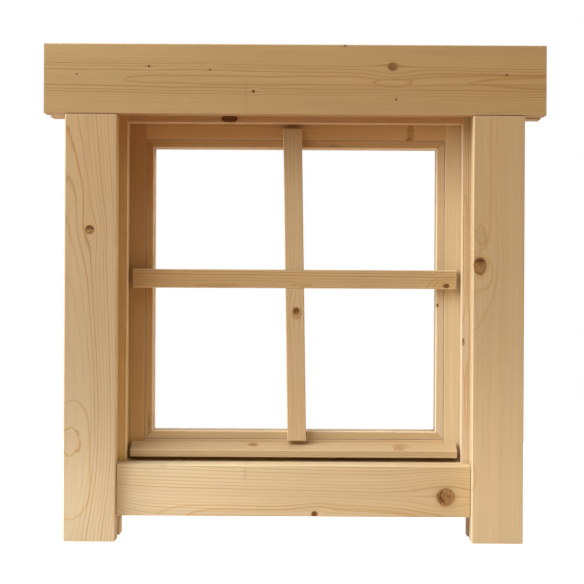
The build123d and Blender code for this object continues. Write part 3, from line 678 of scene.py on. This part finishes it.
wood("glazing_bar_cross", "x", (60, 12), tilt=(0.008, 0.0), wander=0.004, seed=21.0, spacing=3.6, uneven=0.8,
     contrast=2.0, wear_and_highlight=0.35, tone_and_shading=(0.94, 0.87, 0.75), tone_and_shading_high=(0.92, 0.93, 0.90),
     spots=[knot(210.4, 349.8, 5.0, 3.6, side=0.4, reach=2.0, warp=0.3, rim=1.0, deep=0.5)],
     loops=[loop(-108.0, 349.0, 27.0, 1.8, strength=0.62, waver=0.8, width=1.0),
            loop(10.0, 351.0, 14.0, 1.5, strength=0.50, waver=0.8, width=1.0),
            loop(212.0, 346.0, 13.0, 10.0, strength=0.62, waver=0.5, width=0.7),
            loop(213.0, 345.0, 21.0, 14.5, strength=0.65, waver=0.5, width=0.8),
            loop(214.0, 344.0, 32.0, 19.0, strength=0.60, waver=0.5, width=0.9)])
wood("glazing_bar_upright", "z", (-35, 25), seed=22.0, spacing=1.9, contrast=0.9, wear_and_highlight=0.35,
     tone_and_shading=(0.97, 0.99, 1.01),
     spots=[knot(2.4, 313.6, 5.4, 4.7, side=0.5, warp=0.0, rim=0.9, deep=0.5),
            knot(3.0, 311.0, 9.0, 7.4, heart=0.58, rim=0.5)])
wood("drip_rail", "x", (30, 25), seed=23.0, spacing=1.8, contrast=1.0, wear_and_highlight=0.35, tone_and_shading=(0.865, 0.873, 0.89),
     side_shading=(1.15, 1.16, 1.18),
     spots=[knot(149.0, 124.6, 12.0, 2.2, heart=0.35, reach=2.6, warp=0.85),
            knot(146.0, 124.0, 7.0, 0.8, heart=0.6, reach=2.2),
            knot(-56.7, 125.3, 7.0, 1.2, heart=0.9, reach=2.8, warp=0.85)])

# The turn-buttons and the pull knob.
wood("turn_button_lower", "z", (12, 18), seed=24.0, spacing=1.6)
wood("turn_button_upper", "z", (-12, 18), seed=25.0, spacing=1.6)
wood("pull_knob", "z", (10, 14), seed=26.0, spacing=1.8)


def steel(name, nodes, colour=(0.40, 0.402, 0.41, 1.0), roughness=0.38):
    """Bright zinc plate with faint crystals and rubbed streaks."""
    material, t, shader = new_material(name)
    here = t.add("ShaderNodeTexCoord").outputs["Object"]
    cells = t.add("ShaderNodeTexVoronoi", feature="F1")
    t.put(cells.inputs["Vector"], here)
    t.put(cells.inputs["Scale"], 900.0)
    tint = t.split(cells.outputs["Color"])[0]
    smear = t.noise(here, 140.0, 4.0, 0.6)
    shade = t.total(t.math("MULTIPLY", tint, 0.10), t.math("MULTIPLY", smear, 0.24), 0.82)
    t.put(shader.inputs["Base Color"], t.scaled(colour, shade))
    t.put(shader.inputs["Roughness"], t.math("MULTIPLY_ADD", smear, 0.26, roughness - 0.13))
    shader.inputs["Metallic"].default_value = 1.0
    t.relief(shader, smear, strength=0.12, distance=0.0002)
    for node in nodes:
        dress(node, material)
    return material


zinc = steel("zinc_plate", [node for node in parts if node.startswith("hinge_")]
             + ["turn_button_pivots", "turn_button_washers", "pull_knob_stud", "front_trim_screws",
                "rear_trim_screws"])
# Dark metal for the inside of the screws' cross recesses: painted shade in the hollows.
recess_shade_zinc = steel("zinc_recess_shade", [], (0.085, 0.083, 0.080, 1.0), 0.62)

WELD = 0.000002
PLUG_LIFT = 0.0004
PLUG_FOOT_SHARE = 0.55
FIRST_TURN = 0.35
NEXT_TURN = 1.9
RECESS_LIP = 0.00003
RECESS_SLACK_SHARE = 1.05
SHARP_ANGLE = math.radians(30)


def joined_shape(node):
    """A copy of a CAD part's mesh whose faces share their corners, and the middle of each screw's head."""
    shape = bmesh.new()
    shape.from_mesh(parts[node].data)
    bmesh.ops.remove_doubles(shape, verts=shape.verts, dist=WELD)
    left, heads = set(shape.verts), []
    while left:
        corners, waiting = [], [left.pop()]
        while waiting:
            vert = waiting.pop()
            corners.append(vert.co)
            for edge in vert.link_edges:
                other = edge.other_vert(vert)
                if other in left:
                    left.discard(other)
                    waiting.append(other)
        xs, ys, zs = zip(*corners)
        heads.append(Vector(((min(xs) + max(xs)) / 2, max(ys), (min(zs) + max(zs)) / 2)))
    return shape, sorted(heads, key=lambda head: (round(head.z, 3), round(head.x, 3)))


def add_cross(cutter, head, arm, half_width, depth, turn):
    """A tapered plus-shaped plug whose wide end stands just clear of a screw's head."""
    plus = [(arm, -half_width), (arm, half_width), (half_width, half_width)]
    for _ in range(3):
        plus += [(-v, u) for u, v in plus[-3:]]
    rings = []
    for y, share in ((PLUG_LIFT, 1.0), (-depth, PLUG_FOOT_SHARE)):
        ring = []
        for u, v in plus:
            x = share * (u * math.cos(turn) - v * math.sin(turn))
            z = share * (u * math.sin(turn) + v * math.cos(turn))
            ring.append(cutter.verts.new(head + Vector((x, y, z))))
        rings.append(ring)
    top, bottom = rings
    for i in range(len(plus)):
        j = (i + 1) % len(plus)
        cutter.faces.new((top[i], top[j], bottom[j], bottom[i]))
    cutter.faces.new(reversed(top))
    cutter.faces.new(bottom)


def near_any_axis(point, heads, radius):
    """Whether a point lies within a radius of the axis of one of the screws."""
    return any(math.hypot(point.x - head.x, point.z - head.z) < radius for head in heads)


def cross_screws(node, body, arm, half_width, depth):
    """The node's screws with a cross recess sunk in every head. Lengths in millimetres."""
    arm, half_width, depth = arm * MM, half_width * MM, depth * MM
    shape, heads = joined_shape(node)
    mesh = bpy.data.meshes.new(node + "_crossed")
    shape.to_mesh(mesh)
    shape.free()
    piece = add_object(node + "_crossed", mesh)
    cutter_shape = bmesh.new()
    for count, head in enumerate(heads):
        add_cross(cutter_shape, head, arm, half_width, depth, FIRST_TURN + NEXT_TURN * count)
    bmesh.ops.recalc_face_normals(cutter_shape, faces=cutter_shape.faces)
    cutter_mesh = bpy.data.meshes.new("cross_cutter")
    cutter_shape.to_mesh(cutter_mesh)
    cutter_shape.free()
    cutter = add_object("cross_cutter", cutter_mesh)
    cut = piece.modifiers.new("recess", "BOOLEAN")
    cut.operation, cut.solver, cut.object = "DIFFERENCE", "EXACT", cutter
    graph = bpy.context.evaluated_depsgraph_get()
    finished = bpy.data.meshes.new_from_object(piece.evaluated_get(graph))
    piece.modifiers.clear()
    piece.data = finished
    bpy.data.objects.remove(cutter)
    finished.materials.clear()
    finished.materials.append(zinc)
    finished.materials.append(recess_shade_zinc)
    # Faces sunk inside a recess take the dark metal, painted shade.
    crown = max(head.y for head in heads)
    for polygon in finished.polygons:
        sunk = crown - polygon.center.y
        inside = RECESS_LIP < sunk < depth * RECESS_SLACK_SHARE and near_any_axis(polygon.center, heads, arm)
        polygon.material_index = 1 if inside else 0
        polygon.use_smooth = True
    finished.set_sharp_from_angle(angle=SHARP_ANGLE)
    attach(piece, body)
    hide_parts(node)


cross_screws("rear_trim_screws", "frame", 2.9, 0.60, 1.8)
cross_screws("hinge_frame_screws", "frame", 2.1, 0.45, 1.2)
cross_screws("hinge_sash_screws", "sash", 2.1, 0.45, 1.2)
cross_screws("turn_button_pivots", "frame", 2.8, 0.60, 1.6)


def rubber(name, nodes, colour, roughness, scale):
    """Matt foam or plastic with a fine skin."""
    material, t, shader = new_material(name)
    here = t.add("ShaderNodeTexCoord").outputs["Object"]
    skin = t.noise(here, scale, 3.0, 0.6)
    t.put(shader.inputs["Base Color"], t.scaled(colour, t.math("MULTIPLY_ADD", skin, 0.5, 0.75)))
    t.put(shader.inputs["Roughness"], t.math("MULTIPLY_ADD", skin, 0.2, roughness - 0.1))
    t.relief(shader, skin, strength=0.3, distance=0.0003)
    for node in nodes:
        dress(node, material)


rubber("seal_foam", ["weather_seal", "glazing_seal"], (0.055, 0.052, 0.048, 1.0), 0.85, 600.0)
rubber("block_plastic", ["setting_blocks"], (0.10, 0.18, 0.32, 1.0), 0.5, 300.0)


def glass(node):
    """Clear float glass with the faintest film on it."""
    material, t, shader = new_material("clear_glass")
    here = t.add("ShaderNodeTexCoord").outputs["Object"]
    film = t.steps(t.noise(here, 9.0, 4.0, 0.6), 0.45, 0.8)
    tint = t.mix(film, WHITE, (0.985, 0.995, 0.99, 1.0))
    t.put(shader.inputs["Base Color"], tint)
    t.put(shader.inputs["Roughness"], t.math("MULTIPLY", film, 0.012))
    shader.inputs["Transmission Weight"].default_value = 1.0
    shader.inputs["IOR"].default_value = 1.5
    dress(node, material)


glass("glass_pane")

# The camera looks straight at the front, at the point of it that the depth lines run to.
VIEW_DISTANCE = 2.850
FRONT = cad_low.y
PIXEL_AT_FRONT = 0.00136
FRAME_PIXELS = 584.0
VANISH_PIXEL = (315.0, 270.0)
VANISH_PLACE = (0.0282, 0.3711)
ROLL = math.radians(0.30)
SENSOR = 36.0

camera_data = bpy.data.cameras.new("camera")
camera_data.sensor_width = SENSOR
camera_data.lens = VIEW_DISTANCE / PIXEL_AT_FRONT / FRAME_PIXELS * SENSOR
camera_data.shift_x = -(VANISH_PIXEL[0] / FRAME_PIXELS - 0.5)
camera_data.shift_y = VANISH_PIXEL[1] / FRAME_PIXELS - 0.5
camera = add_object("camera", camera_data)
camera.location = (VANISH_PLACE[0], FRONT - VIEW_DISTANCE, VANISH_PLACE[1])
camera.rotation_euler = (Matrix.Rotation(math.pi / 2, 4, "X") @ Matrix.Rotation(ROLL, 4, "Z")).to_euler()
bpy.context.scene.camera = camera


def area_light(name, place, target, size, power):
    """A white rectangle that shines on a target and isn't seen itself."""
    data = bpy.data.lights.new(name, "AREA")
    data.shape = "RECTANGLE"
    data.size, data.size_y = size
    data.energy = power
    lamp = add_object(name, data)
    lamp.location = place
    lamp.rotation_euler = (Vector(target) - Vector(place)).to_track_quat("-Z", "Y").to_euler()
    lamp.visible_camera = False


MIDDLE = (0.0, 0.0, 0.34)
FOOT = (0.0, 0.0, 0.12)
area_light("key", (-1.8, -1.4, 1.85), MIDDLE, (2.0, 2.0), 59.3)
area_light("top", (-0.4, -1.0, 2.7), MIDDLE, (2.0, 1.4), 17.6)
area_light("side_left", (-2.6, -0.40, 0.9), MIDDLE, (1.2, 1.6), 43.6)
area_light("side_right", (2.6, -0.40, 0.9), MIDDLE, (1.2, 1.6), 18.4)
area_light("card", (-0.05, -0.24, 0.02), FOOT, (1.1, 0.06), 0.44)
area_light("back", (1.5, 2.2, 1.7), MIDDLE, (2.0, 2.0), 66.0)

WARM = (1.0, 0.62, 0.34, 1.0)
WARM_STRENGTH = 0.006
FLOOR_LIT_TONE = (0.46, 0.27, 0.13, 1.0)
FLOOR_TONES = ((0.76, 0.76, 0.76, 1.0), (0.80, 0.80, 0.80, 1.0))
FLOOR_GLOW = 0.90
FLOOR_HALF = 1.6
FLOOR_DROP = 0.0002


def seen_directly(t):
    """1 for what the camera, a reflection or a pane of glass sees, 0 for light on its way to a surface."""
    path = t.add("ShaderNodeLightPath").outputs
    seen = t.math("MAXIMUM", path["Is Camera Ray"], path["Is Glossy Ray"])
    return t.math("MAXIMUM", seen, path["Is Transmission Ray"])


def studio():
    """A pale floor and a white surround that metal and glass see too; the floor keeps the shadow."""
    world = bpy.data.worlds.new("surround")
    bpy.context.scene.world = world
    world.use_nodes = True
    t = Tree(world.node_tree)
    background = world.node_tree.nodes["Background"]
    seen = seen_directly(t)
    t.put(background.inputs["Color"], t.mix(seen, WARM, WHITE))
    t.put(background.inputs["Strength"], t.steps(seen, 0.0, 1.0, WARM_STRENGTH, 1.0, smooth=False))
    material, t, shader = new_material("pale_floor")
    here = t.add("ShaderNodeTexCoord").outputs["Object"]
    mottle = t.mix(t.noise(here, 3.0, 2.0), *FLOOR_TONES)
    seen = seen_directly(t)
    t.put(shader.inputs["Base Color"], t.mix(seen, FLOOR_LIT_TONE, mottle))
    shader.inputs["Roughness"].default_value = 0.8
    shader.inputs["Emission Color"].default_value = WHITE
    t.put(shader.inputs["Emission Strength"], t.math("MULTIPLY", seen, FLOOR_GLOW))
    mesh = bpy.data.meshes.new("floor")
    corners = [(x * FLOOR_HALF, y * FLOOR_HALF, 0) for x, y in ((-1, -1), (1, -1), (1, 1), (-1, 1))]
    mesh.from_pydata(corners, [], [(0, 1, 2, 3)])
    mesh.materials.append(material)
    floor = add_object("floor", mesh)
    floor.location.z = cad_low.z - FLOOR_DROP


studio()
bpy.context.scene.view_settings.view_transform = "Standard"
